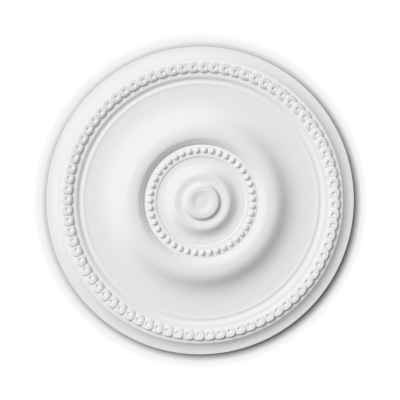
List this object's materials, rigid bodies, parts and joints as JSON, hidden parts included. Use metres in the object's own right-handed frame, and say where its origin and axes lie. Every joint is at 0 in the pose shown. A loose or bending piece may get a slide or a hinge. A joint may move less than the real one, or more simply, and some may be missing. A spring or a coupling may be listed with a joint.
{
  "type": "ceiling rose",
  "caption": "Round moulded ceiling rose with a ring of overlapping coins, a raised dome ring, a ring of pearls and a central boss, on a plain flat back.",
  "frame": {"origin": "centre of the flat back, the face that is bonded to the ceiling", "axes": "+Y out of the flat back into the surface it is fixed to, so the moulded face looks along -Y; +Z up as the picture shows it. Turned 90 degrees about X so that +Y points up, it hangs under a ceiling."},
  "size_m": [0.52, 0.0403, 0.52],
  "materials": {
    "primed_white_moulding": "factory-primed matt white, smooth as moulded"
  },
  "bodies": {
    "root": {"ceiling_rose": "primed_white_moulding"}
  },
  "joints": []
}
